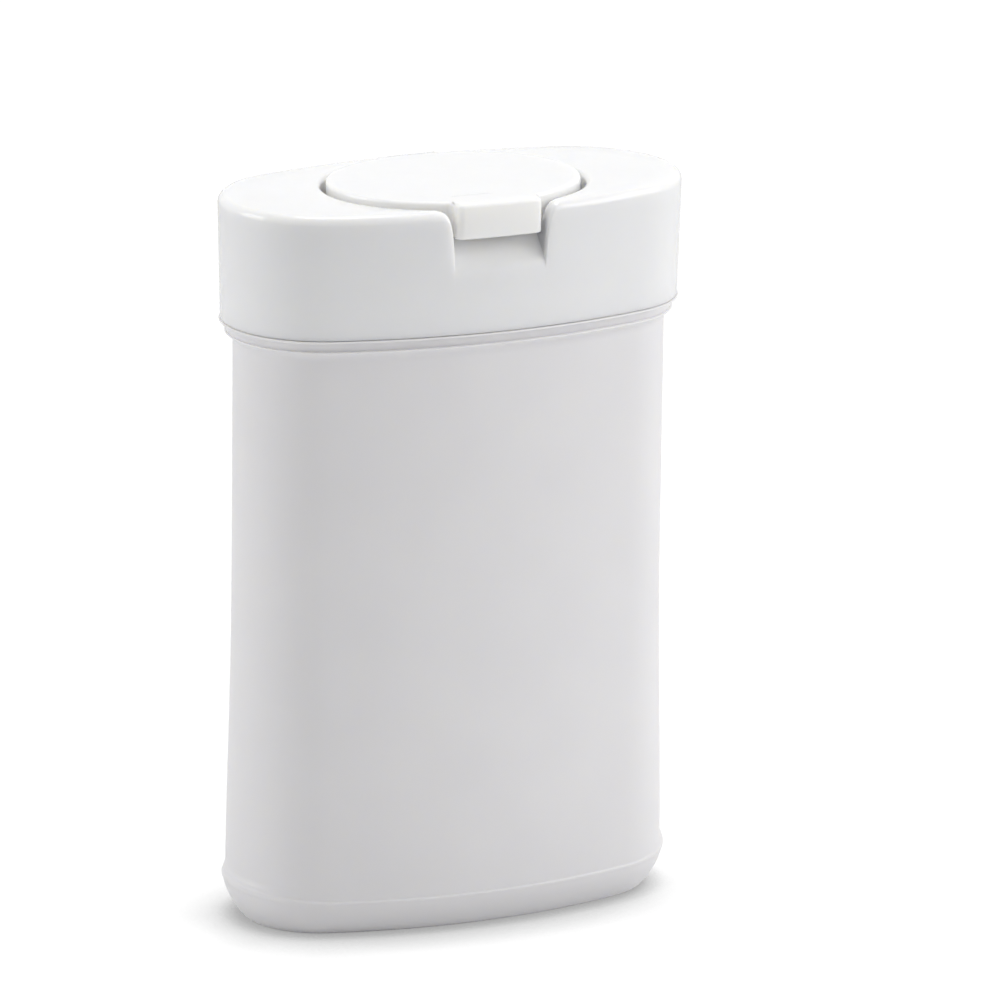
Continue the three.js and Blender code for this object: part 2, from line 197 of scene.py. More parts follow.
class Oval:
    """Oval of four tangent arcs, asked for points by side distance or by length along a quarter."""

    def __init__(self, half_width, half_depth, end_radius, middle_y=0.0):
        self.reach = half_width - end_radius
        self.end_radius = end_radius
        across = self.reach ** 2 + half_depth ** 2 - end_radius ** 2
        self.face_radius = across / (2 * (half_depth - end_radius))
        self.face_centre = half_depth - self.face_radius
        self.turn = math.atan2(-self.face_centre, self.reach)
        self.middle_y = middle_y
        self.end_length = self.turn * end_radius
        self.length = self.end_length + (math.pi / 2 - self.turn) * self.face_radius

    def at_length(self, length, out=0.0):
        """Point and outward direction in the first quarter, by length from the right end."""
        if length <= self.end_length:
            angle = length / self.end_radius
            centre = Vector((self.reach, 0))
            radius = self.end_radius
        else:
            angle = self.turn + (length - self.end_length) / self.face_radius
            centre = Vector((0, self.face_centre))
            radius = self.face_radius
        outward = Vector((math.cos(angle), math.sin(angle)))
        return centre + outward * (radius + out), outward

    def length_at_x(self, x):
        """Length from the right end to the point on the far face that is x from the middle."""
        angle = math.acos(x / self.face_radius)
        if angle > self.turn:
            return self.end_length + (angle - self.turn) * self.face_radius
        return math.acos((x - self.reach) / self.end_radius) * self.end_radius

    def grown(self, out):
        """The same oval pushed outwards all round."""
        return Oval(self.reach + self.end_radius + out, self.face_centre + self.face_radius + out,
                    self.end_radius + out, self.middle_y)


pack_oval = Oval(half_width, half_depth, end_radius)


def outline(oval, steps):
    """Points and outward directions all round an oval, anticlockwise from the right end."""
    onwards = [oval.at_length(oval.length * i / steps) for i in range(steps)]
    backwards = [oval.at_length(oval.length * (1 - i / steps)) for i in range(steps)]
    whole = []
    for side_x, side_y in ((1, 1), (-1, 1), (-1, -1), (1, -1)):
        quarter = onwards if side_x == side_y else backwards
        sign = Vector((side_x, side_y))
        whole += [(point * sign, outward * sign) for point, outward in quarter]
    return whole


def bend(start, handle_a, handle_b, end, steps):
    """Points of a cubic curve after its start."""
    points = []
    for i in range(1, steps + 1):
        t = i / steps
        u = 1 - t
        points.append(tuple(
            u ** 3 * a + 3 * u * u * t * b + 3 * u * t * t * c + t ** 3 * d
            for a, b, c, d in zip(start, handle_a, handle_b, end)
        ))
    return points


def skin(name, rows):
    """A grid wrapped onto rows of points, with its seam and poles merged and its edges smoothed."""
    columns = len(rows[0])
    bpy.ops.object.select_all(action="DESELECT")
    bpy.ops.mesh.primitive_grid_add(x_subdivisions=columns, y_subdivisions=len(rows) - 1, size=1)
    piece = bpy.context.object
    piece.name = name
    piece.data.name = name
    for y, row in enumerate(rows):
        for x in range(columns + 1):
            piece.data.vertices[y * (columns + 1) + x].co = row[x % columns]
    bpy.ops.object.mode_set(mode="EDIT")
    bpy.ops.mesh.select_all(action="SELECT")
    bpy.ops.mesh.remove_doubles(threshold=merge_reach)
    bpy.ops.mesh.normals_make_consistent(inside=False)
    bpy.ops.object.mode_set(mode="OBJECT")
    bpy.ops.object.shade_smooth_by_angle(angle=smooth_angle)
    return piece


def carried_rows(section, around, face_section=None):
    """Rows of points for a section carried round an outline, with its own form at the broad faces."""
    rows = []
    for (out, z), (face_out, face_z) in zip(section, face_section or section):
        row = []
        for point, outward in around:
            share = outward.y ** 2
            flat = point + outward * (out + share * (face_out - out))
            row.append(Vector((*flat, z + share * (face_z - z))))
        rows.append(row)
    return rows


def pole(row, z):
    """A row drawn together to one point, which closes a skin."""
    return [Vector((0, 0, z)) for _ in row]


stand_inset = 4.5 * MM
stand_width = 2.2 * MM
stand_inner = -(stand_inset + stand_width)
push_up = 1.8 * MM
push_up_slope = 3 * MM
panel_foot = 9.2 * MM
panel_inset = 2.12 * MM
waist_height = 60 * MM
flare_low = 98.65 * MM
flare_steps = 6
bead_low = (0.16 * MM, 102.72 * MM)
bead_high = (0.12 * MM, 103.02 * MM)
bead_out = 0.26 * MM


def outside_section(heel_edge, ridge, ridge_back, panel_foot_inset, lip, groove_low, groove_top):
    """Outside of the shell from the base's middle to its shoulder, as (outward distance, height) pairs."""
    soft = 0.1 * MM
    heel_handle = (heel_edge[0] - 0.45 * MM, 3.4 * MM)
    panel_start = (-panel_foot_inset, panel_foot)
    waist = (-panel_inset, waist_height)
    section = [(stand_inner - push_up_slope, push_up), (stand_inner - 0.3 * MM, 0.12 * MM)]
    section += [(stand_inner + 0.4 * MM, 0), (-stand_inset, 0)]
    section += bend(section[-1], (-4.0 * MM, 0), heel_handle, heel_edge, 16)
    section += bend(heel_edge, (ridge[0], heel_edge[1] + 0.2 * MM), (ridge[0], ridge[1] - soft), ridge, 6)
    section += bend(ridge, (ridge[0], ridge[1] + soft), (ridge_back[0], ridge_back[1] - soft), ridge_back, 5)
    section += bend(ridge_back, (ridge_back[0], ridge_back[1] + 0.5 * MM),
                    (-panel_foot_inset, 8.3 * MM), panel_start, 6)
    section += bend(section[-1], (-panel_foot_inset - soft, 24 * MM), (-panel_inset, 40 * MM), waist, 16)
    for i in range(1, flare_steps + 1):
        section.append((-panel_inset, waist_height + i * (flare_low - waist_height) / flare_steps))
    section += bend(section[-1], (-panel_inset, flare_low + 1.3 * MM),
                    (-1.4 * MM, lip[1] - 0.7 * MM), lip, 10)
    section += bend(lip, (lip[0] + 0.08 * MM, lip[1] + 0.13 * MM),
                    (lip[0] - soft, groove_low[1] - 0.01 * MM), groove_low, 6)
    section += [groove_top, bead_low]
    section += bend(bead_low, (bead_out, bead_low[1] + 0.04 * MM), (bead_out, bead_high[1] - 0.04 * MM),
                    bead_high, 6)
    return section


end_section = outside_section(
    heel_edge=(-0.92 * MM, 6.3 * MM), ridge=(-0.66 * MM, 7.3 * MM), ridge_back=(-0.85 * MM, 7.9 * MM),
    panel_foot_inset=1.35 * MM, lip=(-0.76 * MM, 100.85 * MM),
    groove_low=(-1.02 * MM, 101.05 * MM), groove_top=(-0.25 * MM, 102.42 * MM),
)
face_section = outside_section(
    heel_edge=(-0.78 * MM, 5.85 * MM), ridge=(-0.68 * MM, 6.35 * MM), ridge_back=(-0.88 * MM, 6.62 * MM),
    panel_foot_inset=0.92 * MM, lip=(-0.6 * MM, 100.85 * MM),
    groove_low=(-1.12 * MM, 101.08 * MM), groove_top=(-0.9 * MM, 102.45 * MM),
)
neck_inset = 1.95 * MM
neck_round = 0.3 * MM
neck_bead_low = 109.25 * MM
neck_bead_high = 110.65 * MM
neck_bead_handles = ((-1.5 * MM, 109.6 * MM), (-1.5 * MM, 110.3 * MM))
neck_inside = -neck_inset - wall
neck = [(-neck_inset + neck_round, shoulder)]
neck += bend(neck[-1], (-neck_inset, shoulder), (-neck_inset, shoulder),
             (-neck_inset, shoulder + neck_round), 4)
neck += [(-neck_inset, neck_bead_low)]
neck += bend(neck[-1], *neck_bead_handles, (-neck_inset, neck_bead_high), 8)
neck += [(-neck_inset, neck_top - neck_round)]
neck += bend(neck[-1], (-neck_inset, neck_top), (neck_inside, neck_top),
             (neck_inside, neck_top - neck_round), 8)
inside = [
    (neck_inside, shoulder - wall),
    (-1.6 * MM, 101.6 * MM),
    (-panel_inset - wall, flare_low),
    (-panel_inset - wall, waist_height),
    (-2.4 * MM, panel_foot + 8 * MM),
    (-2.35 * MM, panel_foot),
    (-1.8 * MM, 7.2 * MM),
    (-3.2 * MM, 2.4 * MM),
    (-stand_inset - 0.2 * MM, wall),
    (stand_inner, wall),
    (stand_inner - push_up_slope, push_up + wall),
]
container_around = outline(pack_oval, container_steps)
container_rows = carried_rows(end_section, container_around, face_section)
container_rows += carried_rows(neck + inside, container_around)
container_rows = [pole(container_rows[0], push_up), *container_rows, pole(container_rows[0], push_up + wall)]
container = skin("container_shell", container_rows)


# High-density polyethylene out of a blow mould: milky white, satin rather than glossy, with faint
# upright drag lines where the soft tube was drawn and a slight unevenness of the cooled wall.
def moulded_plastic(name, colours, roughness, glow, line_spacing, line_length, line_depth,
                    ripple_spacing, ripple_depth):
    """White moulded plastic that light wanders into, with faint upright lines and a soft ripple."""
    roughness_change = 0.04
    material = bare_material(name)
    place = add_node(material, "ShaderNodeTexCoord")
    stretched = add_node(material, "ShaderNodeMapping",
                         {"Scale": (1 / line_spacing, 1 / line_spacing, 1 / line_length)},
                         Vector=place.outputs["Object"])
    lines = add_node(material, "ShaderNodeTexNoise", {"Scale": 1.0, "Detail": 2.0},
                     Vector=stretched.outputs["Vector"])
    ripple = add_node(material, "ShaderNodeTexNoise", {"Scale": 1 / ripple_spacing, "Detail": 1.0},
                      Vector=place.outputs["Object"])
    rough = add_node(material, "ShaderNodeMapRange",
                     {"To Min": roughness - roughness_change, "To Max": roughness + roughness_change},
                     Value=lines.outputs["Fac"])
    shade = add_node(material, "ShaderNodeMix", {
        "data_type": "RGBA", first_colour: linear(colours[0]), second_colour: linear(colours[1]),
    }, Factor=ripple.outputs["Fac"])
    rippled = add_node(material, "ShaderNodeBump", {"Strength": 1.0, "Distance": ripple_depth},
                       Height=ripple.outputs["Fac"])
    lined = add_node(material, "ShaderNodeBump", {"Strength": 1.0, "Distance": line_depth},
                     Height=lines.outputs["Fac"], Normal=rippled.outputs["Normal"])
    surface = add_node(material, "ShaderNodeBsdfPrincipled", {
        "IOR": 1.5, "Subsurface Weight": 0.75, "Subsurface Radius": (1.0, 0.95, 0.8),
        "Subsurface Scale": glow,
    }, Base_Color=shade.outputs[mixed_colour], Roughness=rough.outputs["Result"],
       Normal=lined.outputs["Normal"])
    add_node(material, "ShaderNodeOutputMaterial", Surface=surface.outputs[0])
    return material


container.data.materials.append(moulded_plastic(
    "blow_moulded_polyethylene", ("#EAE9EA", "#E5E4E6"), roughness=0.40, glow=0.8 * MM,
    line_spacing=0.9 * MM, line_length=70 * MM, line_depth=0.010 * MM,
    ripple_spacing=14 * MM, ripple_depth=0.05 * MM,
))
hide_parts("container")
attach(container, "container")


# Roll of wipes: a strip of damp white nonwoven cloth wound without a core and pressed oval to fit,
# its edges showing as turns on top, and the inner end drawn up and gathered to thread the lid.
roll_low = 3.1 * MM
roll_top = 103.1 * MM
roll_out = -3.72 * MM
roll_round = 0.6 * MM
roll_steps = 30
roll_side_steps = 10
roll_turns = 22
turn_edge_drop = 0.12 * MM
turn_middle_drop = 0.06 * MM
turn_groove = 0.55 * MM
turn_waver = 0.05 * MM
waver_waves = 11
waver_shift = 40
core_half_width = 9 * MM
core_half_depth = 4.5 * MM
core_end_radius = 3.6 * MM
core_edge_drop = 0.6 * MM
core_sink = 12 * MM
gather_folds = 9
gather_fold_depth = 0.28
gather_steps = 8
gather_start = -0.45
gather_narrowing = 0.042
gather_below_top = 1 * MM
gather_dip = 1.3 * MM
roll_outer = [point + outward * roll_out for point, outward in outline(pack_oval, roll_steps)]
core_oval = Oval(core_half_width, core_half_depth, core_end_radius)
roll_core = [point for point, _ in outline(core_oval, roll_steps)]


def roll_row(share, z, waver=0.0):
    """Points between the core's edge at 0 and the outside at 1, below 0 drawn towards the middle."""
    row = []
    for i, (core, outer) in enumerate(zip(roll_core, roll_outer)):
        if share < 0:
            wave = math.cos(gather_folds * 2 * math.pi * i / len(roll_core))
            fold = 1 + gather_fold_depth * wave * min(1, -3 * share)
            flat = core * (1 + share) * fold
        else:
            flat = core + (outer - core) * share
        lift = waver * math.sin(waver_waves * 2 * math.pi * i / len(roll_core) + waver_shift * share)
        row.append(Vector((*flat, z + lift)))
    return row


roll_rows = [roll_row(0.6, roll_low), roll_row(0.985, roll_low), roll_row(1, roll_low + roll_round)]
for i in range(1, roll_side_steps + 1):
    roll_rows.append(roll_row(1, roll_low + i * (roll_top - roll_low - 1 * MM) / roll_side_steps))
for turn_number in range(roll_turns, 0, -1):
    edge = turn_number / roll_turns
    roll_rows.append(roll_row(edge, roll_top - turn_groove))
    for part, drop in ((0.2, turn_edge_drop), (0.5, turn_middle_drop), (0.8, turn_edge_drop)):
        roll_rows.append(roll_row(edge - part * (1 / roll_turns), roll_top - drop, turn_waver))
roll_rows += [roll_row(0.0, roll_top - core_edge_drop), roll_row(-0.02, roll_top - core_sink)]
for step in range(gather_steps + 1):
    rise = step * (core_sink - gather_below_top) / gather_steps
    roll_rows.append(roll_row(gather_start - gather_narrowing * step, roll_top - core_sink + rise))
roll_rows = [pole(roll_rows[0], roll_low), *roll_rows, pole(roll_rows[0], roll_top - gather_dip)]
roll = skin("wipes_roll_turns", roll_rows)

# Damp spunlace nonwoven: soft matt white, with the fine random fibres of the pressed web and the
# tiny dimples of its emboss, drawn coarser than the real 0.02 mm fibres so that they show.
fibre_spacing = 0.35 * MM
fibre_depth = 0.08 * MM
dimple_spacing = 1.4 * MM
dimple_depth = 0.1 * MM
tissue = bare_material("damp_nonwoven_cloth")
tissue_place = add_node(tissue, "ShaderNodeTexCoord")
tissue_fibres = add_node(tissue, "ShaderNodeTexNoise", {"Scale": 1 / fibre_spacing, "Detail": 4.0},
                         Vector=tissue_place.outputs["Object"])
tissue_dimples = add_node(tissue, "ShaderNodeTexVoronoi", {"Scale": 1 / dimple_spacing},
                          Vector=tissue_place.outputs["Object"])
tissue_tone = add_node(tissue, "ShaderNodeMix", {
    "data_type": "RGBA", first_colour: linear("#E4E9EA"), second_colour: linear("#F6F8F8"),
}, Factor=tissue_fibres.outputs["Fac"])
tissue_bump = add_node(tissue, "ShaderNodeBump", {"Strength": 0.6, "Distance": fibre_depth},
                       Height=tissue_fibres.outputs["Fac"])
tissue_emboss = add_node(tissue, "ShaderNodeBump", {"Strength": 0.5, "Distance": dimple_depth},
                         Height=tissue_dimples.outputs["Distance"], Normal=tissue_bump.outputs["Normal"])
tissue_surface = add_node(tissue, "ShaderNodeBsdfPrincipled",
                          {"Roughness": 0.75, "Sheen Weight": 0.2, "Sheen Roughness": 0.5, "IOR": 1.4},
                          Base_Color=tissue_tone.outputs[mixed_colour],
                          Normal=tissue_emboss.outputs["Normal"])
add_node(tissue, "ShaderNodeOutputMaterial", Surface=tissue_surface.outputs[0])
roll.data.materials.append(tissue)
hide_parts("wipes_roll")
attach(roll, "container")


# Lid: an injection-moulded polypropylene cup with a flat deck, an oval well for the cap, a scooped
# finger recess in front, a slot for the hinge behind, and the star-slit hole in the well's floor.
lid_bottom = 103.14 * MM
deck = 124.0 * MM
lid_draft = 0.5 * MM
lid_wall = 1.2 * MM
lid_corner = 1.5 * MM
ceiling = deck - 1.3 * MM
rib_high = 108.1 * MM
rib_middle = 107.5 * MM
rib_low = 106.9 * MM
rib_reach = 0.3 * MM
skirt_inner_low = lid_bottom + 0.6 * MM
well_bottom = deck - 5.4 * MM
well_underside = well_bottom - 1.2 * MM
cap_half_width = 21.6 * MM
cap_half_depth = 17.6 * MM
cap_end_radius = 15.6 * MM
cap_forward = 0.9 * MM
well_gap = 0.9 * MM
well_wall = 2.0 * MM
well_clear = 0.05 * MM
cap_oval = Oval(cap_half_width, cap_half_depth, cap_end_radius, -cap_forward)
well_oval = cap_oval.grown(well_gap)
well_outer_oval = cap_oval.grown(well_gap + well_wall)
hole_centre = Vector((0, -cap_forward))
hole_radius = 3.4 * MM
slit_reach = 5.2 * MM
slit_half_width = 0.5 * MM
slit_count = 6
collar_inner = 5.9 * MM
collar_outer = 7.4 * MM
collar_height = 1.4 * MM
recess_edge = 11.1 * MM
recess_inner = 8.1 * MM
recess_roll = 0.4 * MM
recess_steepness = 1.8
recess_low = 114.0 * MM
recess_back_y = -16.5 * MM
recess_back_z = 118.0 * MM
recess_back_lean = 0.4 * MM
slot_half = 5.6 * MM
slot_floor = 120.4 * MM
floor_inset = 3.9 * MM
underside_inset = 4.7 * MM


class Column:
    """One upright slice of the lid or cap: where it meets each oval, seen from above."""

    def __init__(self, side_x, side_y, x=None, share=None, join_x=None):
        self.sign = Vector((side_x, side_y))
        self.x = x
        self.share = share
        self.join_x = join_x

    def within(self, side_y, reach):
        """Whether the slice stands at the front (-1) or back (1), less than a reach from the middle."""
        return self.x is not None and self.sign.y == side_y and self.x < reach

    def on(self, oval, out=0.0):
        """Point on an oval grown by a distance: at the slice's own x, or by its share of the rest."""
        if self.x is not None:
            grown = oval.grown(out)
            point, _ = grown.at_length(grown.length_at_x(self.x))
        else:
            length = oval.length_at_x(self.join_x) * (1 - self.share)
            point, _ = oval.at_length(length, out)
        return Vector((0, oval.middle_y)) + point * self.sign

    def inside(self, oval, inwards):
        """Point a distance inwards of an oval: straight back at the faces, turning square at the ends."""
        angle = (self.share or 0) * math.pi / 2
        return self.on(oval) - inwards * (self.sign * Vector((math.sin(angle), math.cos(angle))))

    def round(self, radius, oval):
        """Point on a circle round the hole, in the direction of the slice."""
        away = (self.on(oval) - hole_centre).normalized()
        return hole_centre + away * radius


def slices(side_x, side_y, near_xs, rest):
    """Slices of one quarter, from the middle of the front or back face to the end of the oval."""
    join_x = near_xs[-1]
    quarter = [Column(side_x, side_y, x=x) for x in near_xs]
    quarter += [Column(side_x, side_y, share=i / rest, join_x=join_x) for i in range(1, rest + 1)]
    return quarter


def all_slices(front_xs, back_xs, rest):
    """Slices all round, anticlockwise from the middle of the front."""
    around = slices(1, -1, front_xs, rest)
    around += list(reversed(slices(1, 1, back_xs, rest)))[1:]
    around += slices(-1, 1, back_xs, rest)[1:]
    around += list(reversed(slices(-1, -1, front_xs, rest)))[1:-1]
    return around


def spread(low, high, steps):
    """Evenly spaced values from low to high."""
    return [low + (high - low) * i / steps for i in range(steps + 1)]


def raised(flat, z):
    """A point seen from above, lifted to its height."""
    return Vector((flat.x, flat.y, z))


def rounded(corners, steps):
    """Points along straight lines between corners, each corner rounded by its own radius."""
    shortest = 1e-7
    flattest = 1e-3
    most_of_a_side = 0.48
    points = []
    for i, (corner, radius) in enumerate(corners):
        before = corners[max(i - 1, 0)][0] - corner
        after = corners[min(i + 1, len(corners) - 1)][0] - corner
        if radius == 0 or before.length < shortest or after.length < shortest:
            points += [corner.copy() for _ in range(steps + 1)]
            continue
        half = before.angle(after) / 2
        weight = math.sin(half)
        cut = min(radius / max(math.tan(half), flattest),
                  most_of_a_side * before.length, most_of_a_side * after.length)
        start = corner + before.normalized() * cut
        end = corner + after.normalized() * cut
        for step in range(steps + 1):
            t = step / steps
            total = (1 - t) ** 2 + 2 * weight * t * (1 - t) + t * t
            points.append(((1 - t) ** 2 * start + 2 * weight * t * (1 - t) * corner + t * t * end) / total)
    return points


def star_radius(column):
    """Distance of the dispensing hole's edge from its centre in the direction of a slice."""
    away = column.on(cap_oval) - hole_centre
    angle = math.atan2(away.y, away.x) % (2 * math.pi / slit_count)
    angle = min(angle, 2 * math.pi / slit_count - angle)
    return slit_reach if hole_radius * math.sin(angle) < slit_half_width else hole_radius


def lid_plain(column):
    """Corners of the lid's section where it has a plain deck and well."""
    skirt = lambda out, z: raised(column.on(pack_oval, out), z)
    well = lambda oval, z: raised(column.on(oval), z)
    collar = lambda radius, z: raised(column.round(radius, cap_oval), z)
    inner_wall = column.on(pack_oval, lid_draft - lid_wall)
    outer_well = column.on(well_outer_oval)
    if abs(outer_well.y) + well_clear > abs(inner_wall.y) and abs(inner_wall.x) < cap_half_width:
        outer_well = column.on(pack_oval, lid_draft - lid_wall - well_clear)
    star = star_radius(column)
    return [
        (skirt(-lid_wall, lid_bottom), 0.2 * MM),
        (skirt(0, lid_bottom), 0.1 * MM),
        (skirt(lid_draft * 0.5, (lid_bottom + deck) / 2), 0),
        (skirt(lid_draft, deck), lid_corner),
        (well(well_oval, deck), 0.8 * MM),
        (well(well_oval, well_bottom), 0.5 * MM),
        (raised(column.inside(well_oval, floor_inset), well_bottom), 0),
        (collar(collar_outer, well_bottom), 0.3 * MM),
        (collar(collar_outer, well_bottom + collar_height), 0.25 * MM),
        (collar(collar_inner, well_bottom + collar_height), 0.25 * MM),
        (collar(collar_inner, well_bottom), 0.15 * MM),
        (collar(star, well_bottom), 0.1 * MM),
        (collar(star, well_underside), 0.1 * MM),
        (raised(column.inside(well_oval, underside_inset), well_underside), 0),
        (raised(outer_well, well_underside), 0.4 * MM),
        (raised(outer_well, ceiling), 0.2 * MM),
        (raised(inner_wall, ceiling), 0.5 * MM),
        (skirt(-lid_wall, rib_high), 0),
        (skirt(-lid_wall - rib_reach, rib_middle), 0.3 * MM),
        (skirt(-lid_wall, rib_low), 0),
        (skirt(-lid_wall, skirt_inner_low), 0),
    ]


# Places in the list above of the corners that the recess and the slot move.
side_middle, deck_edge, well_edge, well_foot = 2, 3, 4, 5
under_well, behind_well, skirt_ceiling = 14, 15, 16


def lid_recessed(column):
    """Corners of the section through the finger recess in front."""
    corners = lid_plain(column)
    x = column.on(pack_oval).x
    low = lid_draft * (recess_low - lid_bottom) / (deck - lid_bottom)
    behind_y = recess_back_y + lid_wall
    corners[side_middle] = (raised(column.on(pack_oval, low / 2), (lid_bottom + recess_low) / 2), 0)
    corners[deck_edge] = (raised(column.on(pack_oval, low), recess_low), 3.0 * MM)
    corners[well_edge] = (Vector((x, recess_back_y, recess_back_z)), 0.4 * MM)
    corners[well_foot] = (Vector((x, recess_back_y + recess_back_lean, well_bottom)), 0.2 * MM)
    corners[under_well] = (Vector((x, behind_y, well_underside)), 0.2 * MM)
    corners[behind_well] = (Vector((x, behind_y, recess_back_z - lid_wall)), 0.2 * MM)
    corners[skirt_ceiling] = (
        raised(column.on(pack_oval, low - lid_wall), recess_low - 0.8 * lid_wall), 0.5 * MM,
    )
    return corners


def lid_slotted(column):
    """Corners of the section through the hinge's slot at the back."""
    corners = lid_plain(column)
    corners[deck_edge] = (raised(column.on(pack_oval, lid_draft * 0.85), slot_floor), 0.3 * MM)
    corners[well_edge] = (raised(column.on(well_oval), slot_floor), 0.25 * MM)
    return corners


def blended(plain, other, share):
    """Corners part of the way from one section to another."""
    return [(a.lerp(b, share), ra + (rb - ra) * share) for (a, ra), (b, rb) in zip(plain, other)]


def recess_share(x):
    """How far a slice has sunk into the recess: its side walls are steep and roll softly into the face."""
    depth = lambda away: 1 / (1 + (max(away, 0) / recess_roll) ** recess_steepness)
    least = depth(recess_edge - recess_inner)
    return (depth(x - recess_inner) - least) / (1 - least)


lid_rest = 30
lid_round_steps = 4
recess_steps = 22
recess_crowding = 1.7
slot_past = 0.02 * MM
lid_front_xs = spread(0, 7.8 * MM, 6) + spread(8.0 * MM, recess_inner, 2)
for i in range(1, recess_steps + 1):
    crowded = (i / recess_steps) ** recess_crowding
    lid_front_xs.append(recess_inner + (recess_edge - recess_inner) * crowded)
lid_front_xs += [recess_edge + 0.5 * MM, 12.5 * MM]
lid_back_xs = spread(0, slot_half - 0.4 * MM, 4) + spread(slot_half - 0.15 * MM, slot_half, 3)
lid_back_xs += [slot_half + past * MM for past in (0.03, 0.1, 0.2, 0.4)]
lid_back_xs += [7.5 * MM, 9.5 * MM, 12 * MM]
lid_columns = []
for column in all_slices(lid_front_xs, lid_back_xs, lid_rest):
    corners = lid_plain(column)
    if column.within(-1, recess_edge):
        corners = blended(corners, lid_recessed(column), recess_share(column.x))
    if column.within(1, slot_half + slot_past):
        corners = lid_slotted(column)
    lid_columns.append(rounded(corners + corners[:1], lid_round_steps))
lid = skin("lid_cup", [list(row) for row in zip(*lid_columns)])

# Polypropylene out of a polished steel mould: whiter and glossier than the container, with only a
# trace of ripple from the cooled surface.
lid_finish = moulded_plastic(
    "injection_moulded_polypropylene", ("#F9F8F6", "#F6F5F3"), roughness=0.15, glow=2.2 * MM,
    line_spacing=1.6 * MM, line_length=3.0 * MM, line_depth=0.002 * MM,
    ripple_spacing=9 * MM, ripple_depth=0.02 * MM,
)
lid.data.materials.append(lid_finish)
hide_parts("lid")
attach(lid, "lid")


# Flip cap: an oval polypropylene flap with a skirt, a sealing ring round the hole's collar, a thumb
# tab that hangs in the finger recess, and a tongue with a knuckle and stub pins that snap into the lid.
cap_top = 124.92 * MM
cap_crown = 0.08 * MM
cap_edge = 0.8 * MM
cap_underside = cap_top - 1.3 * MM
cap_skirt_bottom = 119.5 * MM
cap_skirt_wall = 1.2 * MM
seal_inner = 7.75 * MM
seal_outer = 8.65 * MM
tab_half = 7.6 * MM
tab_low = 119.1 * MM
tab_out = 0.1 * MM
tab_thickness = 1.3 * MM
tab_thinnest = 0.3 * MM
tab_edge = 1.2 * MM
tab_top_edge = 0.6 * MM
tab_fillet = 1.0 * MM


def cap_plain(column):
    """Corners of the cap's section away from the tab, from the middle of the top to the underside."""
    across = lambda share: hole_centre.lerp(column.on(cap_oval), share)
    top = lambda share, crown: raised(across(share), cap_top + crown * cap_crown)
    rim = lambda out, z: raised(column.on(cap_oval, out), z)
    ring = lambda radius, z: raised(column.round(radius, cap_oval), z)
    return [
        (raised(hole_centre, cap_top + cap_crown), 0),
        (top(0.5, 0.75), 0),
        (top(0.94, 0.12), 0),
        (rim(0, cap_top), cap_edge),
        (rim(0, cap_skirt_bottom), 0.25 * MM),
        (rim(-0.3 * MM, cap_skirt_bottom), 0),
        (rim(-0.6 * MM, cap_skirt_bottom), 0),
        (rim(-cap_skirt_wall, cap_skirt_bottom), 0.25 * MM),
        (rim(-cap_skirt_wall, cap_underside), 0.4 * MM),
        (ring(seal_outer, cap_underside), 0.3 * MM),
        (ring(seal_outer, cap_skirt_bottom), 0.2 * MM),
        (ring(seal_inner, cap_skirt_bottom), 0.2 * MM),
        (ring(seal_inner, cap_underside), 0.2 * MM),
        (raised(hole_centre, cap_underside), 0),
    ]


# Places in the list above of the corners that the tab moves.
top_end, front_top, front_low, back_low, back_high = 2, 3, 4, 5, 6


def cap_tabbed(column, set_back=0.0):
    """Corners of the section through the thumb tab, which is set back round its side edges."""
    corners = cap_plain(column)
    front = column.on(pack_oval, tab_out)
    front.y += set_back
    behind = Vector((front.x, front.y + max(tab_thickness - set_back, tab_thinnest)))
    corners[top_end] = (raised(column.on(cap_oval), cap_top), 0.4 * MM)
    corners[front_top] = (raised(front, cap_top - 0.5 * set_back), tab_top_edge)
    corners[front_low] = (raised(front, tab_low), 0.35 * MM)
    corners[back_low] = (raised(behind, tab_low), 0.3 * MM)
    corners[back_high] = (raised(behind, cap_skirt_bottom), 0.1 * MM)
    return corners


cap_rest = 26
cap_round_steps = 5
tab_edge_steps = 8
tab_past = 0.01 * MM
tab_flat = tab_half - tab_edge
cap_front_xs = spread(0, tab_flat, 7)[:-1]
cap_front_xs += [tab_flat + tab_edge * math.sin(angle) for angle in spread(0, math.pi / 2, tab_edge_steps)]
for i in range(tab_edge_steps + 1):
    cap_front_xs.append(tab_half + tab_fillet * (i / tab_edge_steps) ** 2 + tab_past)
cap_front_xs += [9.5 * MM, 10.7 * MM, 12 * MM]
cap_back_xs = spread(0, 12 * MM, 8)
cap_columns = []
for column in all_slices(cap_front_xs, cap_back_xs, cap_rest):
    corners = cap_plain(column)
    if column.within(-1, tab_half + tab_past / 2):
        inwards = max(column.x - tab_flat, 0)
        set_back = tab_edge - math.sqrt(max(tab_edge ** 2 - inwards ** 2, 0))
        corners = cap_tabbed(column, set_back)
    elif column.within(-1, tab_half + tab_fillet):
        past = tab_fillet - (column.x - tab_half)
        reach = tab_fillet - math.sqrt(tab_fillet ** 2 - past ** 2)
        depth = column.on(cap_oval).y - column.on(pack_oval, tab_out).y
        corners = blended(corners, cap_tabbed(column), reach / depth)
    cap_columns.append(rounded(corners, cap_round_steps))
cap = skin("flip_cap_flap", [list(row) for row in zip(*cap_columns)])

